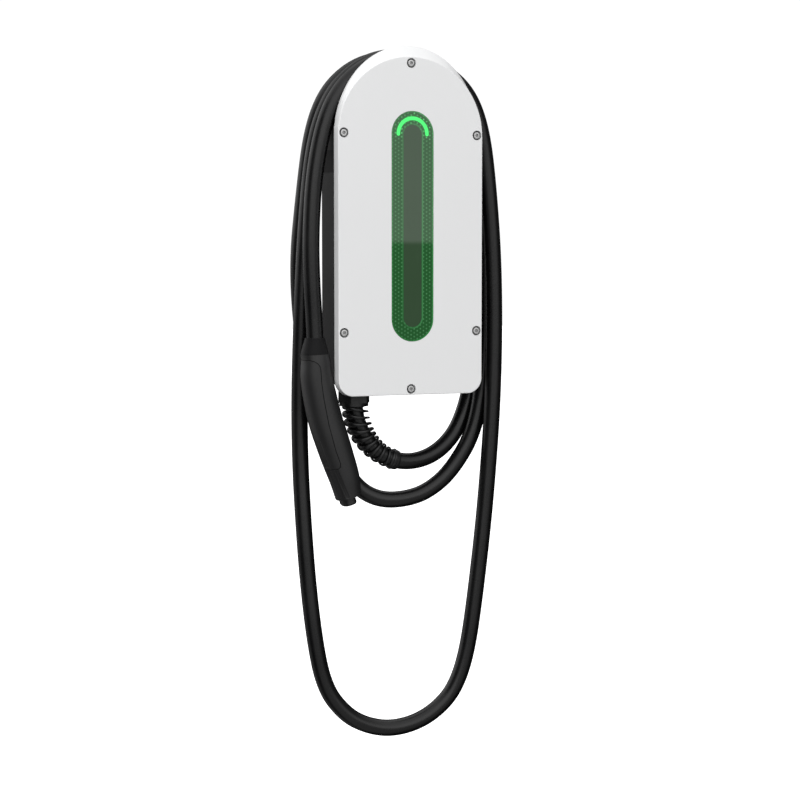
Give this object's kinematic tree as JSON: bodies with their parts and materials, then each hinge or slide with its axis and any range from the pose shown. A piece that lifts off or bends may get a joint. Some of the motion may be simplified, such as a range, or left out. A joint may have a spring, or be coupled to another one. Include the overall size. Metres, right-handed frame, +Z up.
{
  "type": "ev wallbox",
  "caption": "Wall-mounted electric car charging box with a half-round top over which its fixed charging cable is wound, the connector hanging at the left.",
  "frame": {"origin": "on the wall plane, the bracket's rear face, at the centre of width and at the level of the centre of the cover's half-round top", "axes": "+X to the right as seen from the front, +Y into the wall (the front faces -Y), +Z up"},
  "size_m": [0.221, 0.088, 0.7027],
  "materials": {
    "cover_white": "fine satin moulded plastic",
    "housing_black": "fine textured moulded plastic",
    "window_green": "tinted translucent gloss plastic",
    "light_green": "lit light guide",
    "mask_dark": "dark printed film",
    "diffuser": "milky film",
    "cable_black": "satin extruded jacket",
    "guard_black": "satin moulded elastomer",
    "gland_black": "moulded polyamide",
    "connector_black": "fine textured moulded plastic",
    "grip_black": "soft touch elastomer",
    "seal_rubber": "foam elastomer",
    "screw_steel": "stainless",
    "bracket_steel": "galvanised sheet",
    "brass": "turned",
    "board_green": "solder mask",
    "lamp_white": "small lamp body",
    "relay_black": "moulded case",
    "part_grey": "moulded polyamide",
    "part_white": "moulded case",
    "module_silver": "tinned screening can",
    "capacitor_sleeve": "shrunk sleeve",
    "guard_clear": "clear polycarbonate",
    "wire_brown": "insulation",
    "ribbon_grey": "flat lead"
  },
  "bodies": {
    "root": {"front_cover": "cover_white", "cover_seal": "seal_rubber", "cover_screws": "screw_steel", "screw_washers": "gland_black", "threaded_inserts": "brass", "indicator_window": "window_green", "light_guide": "light_green", "window_diffuser": "diffuser", "window_mask": "mask_dark", "indicator_board": "board_green", "indicator_lamps": "lamp_white", "indicator_board_screws": "screw_steel", "rear_housing": "housing_black", "wall_bracket": "bracket_steel", "bracket_screws": "screw_steel", "supply_grommet": "seal_rubber", "pressure_vent": "gland_black", "board_standoffs": "brass", "main_board": "board_green", "board_screws": "screw_steel", "power_relays": "relay_black", "residual_current_sensor": "part_grey", "power_supply": "part_white", "capacitors": "capacitor_sleeve", "processor_module": "module_silver", "board_sockets": "part_white", "output_terminal_block": "part_grey", "supply_terminal_block": "part_grey", "earth_bar": "brass", "touch_guard": "guard_clear", "inner_conductors": "wire_brown", "ribbon_lead": "ribbon_grey", "gland_body": "gland_black", "gland_locknut": "gland_black", "gland_seal": "seal_rubber", "gland_dome_nut": "gland_black", "charging_cable": "cable_black", "bend_protector": "guard_black", "connector_shell_front": "connector_black", "connector_shell_rear": "connector_black", "connector_grip": "grip_black", "connector_screws": "screw_steel", "connector_boot": "grip_black", "connector_seal": "seal_rubber", "connector_nose": "connector_black", "contact_carrier": "part_grey", "connector_contacts": "brass", "connector_leads": "wire_brown"}
  },
  "joints": []
}
